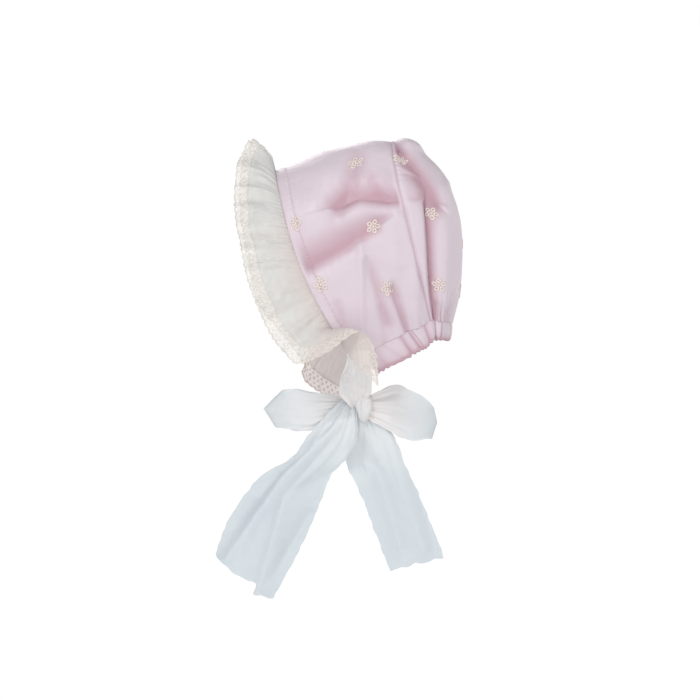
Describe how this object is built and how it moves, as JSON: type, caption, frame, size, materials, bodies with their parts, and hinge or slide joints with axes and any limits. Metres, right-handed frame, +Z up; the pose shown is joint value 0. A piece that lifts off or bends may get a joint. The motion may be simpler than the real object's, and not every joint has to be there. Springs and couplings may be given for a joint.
{
  "type": "baby bonnet",
  "caption": "Pale pink baby bonnet: close crown, puffed back, ruched neck casing, sheer lace-edged ruffle round the face, and ribbon ties in a bow under the chin.",
  "frame": {"origin": "inside of the crown at the top of the head, where the bonnet sits when worn", "axes": "+Z up through the crown, -X out of the face opening, -Y towards the wearer's left side"},
  "size_m": [0.1941, 0.1465, 0.3577],
  "materials": {
    "crown_panel": "satin",
    "back_panel": "satin",
    "neck_casing": "satin",
    "face_ruffle": "matte sheer",
    "lace_edging": "matte",
    "left_tie": "soft sheer",
    "right_tie": "soft sheer",
    "bow_knot": "soft sheer",
    "front_loop": "soft sheer",
    "back_loop": "soft sheer",
    "front_tail": "soft sheer",
    "back_tail": "soft sheer"
  },
  "bodies": {
    "root": {"crown_panel": "crown_panel", "back_panel": "back_panel", "neck_casing": "neck_casing", "face_ruffle": "face_ruffle", "lace_edging": "lace_edging", "left_tie": "left_tie", "right_tie": "right_tie", "bow_knot": "bow_knot", "front_loop": "front_loop", "back_loop": "back_loop", "front_tail": "front_tail", "back_tail": "back_tail"}
  },
  "joints": []
}
